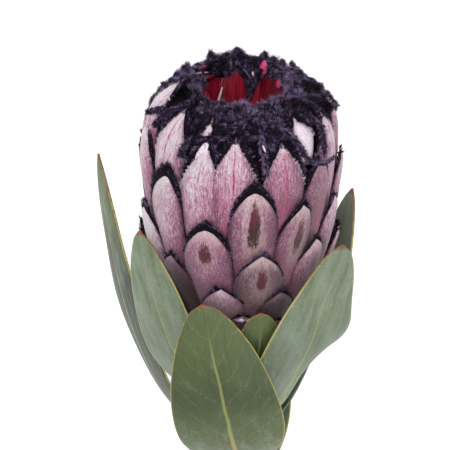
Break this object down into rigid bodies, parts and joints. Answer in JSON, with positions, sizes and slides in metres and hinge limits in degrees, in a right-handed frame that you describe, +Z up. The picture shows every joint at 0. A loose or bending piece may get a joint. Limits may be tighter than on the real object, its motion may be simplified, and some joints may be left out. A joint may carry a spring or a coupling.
{
  "type": "protea flower",
  "caption": "Cut protea flower lying on its side: a barrel head of overlapping bracts with a dark bearded rim, a red cup with florets, a bare stem and leathery leaves",
  "frame": {"origin": "centre of the bounding box's base, on the surface that the flower lies on", "axes": "+Y runs along the flower from its cut stem to its head, +Z is up and points out of the front of the flower, +X is to the right of the front"},
  "size_m": [0.0812, 0.1878, 0.0654],
  "materials": {
    "bract": "thin stiff bracts with a silky down, silver pink to mauve and crimson towards their bases",
    "beard": "matted woolly hairs, black with a purple tint",
    "floret": "silky florets, crimson with dark tips",
    "stem": "smooth green bark that browns towards the cut end",
    "leaf": "leathery grey green with a horny orange margin and a yellow midrib"
  },
  "bodies": {
    "root": {"head": "bract", "beard_crown": "beard", "florets": "floret", "stem": "stem", "leaf_front": "leaf", "leaf_right": "leaf", "leaf_left": "leaf", "leaf_far_left": "leaf", "leaf_far_right": "leaf", "leaf_middle": "leaf", "leaf_back_left": "leaf", "leaf_back_right": "leaf", "leaf_low_back": "leaf"}
  },
  "joints": []
}
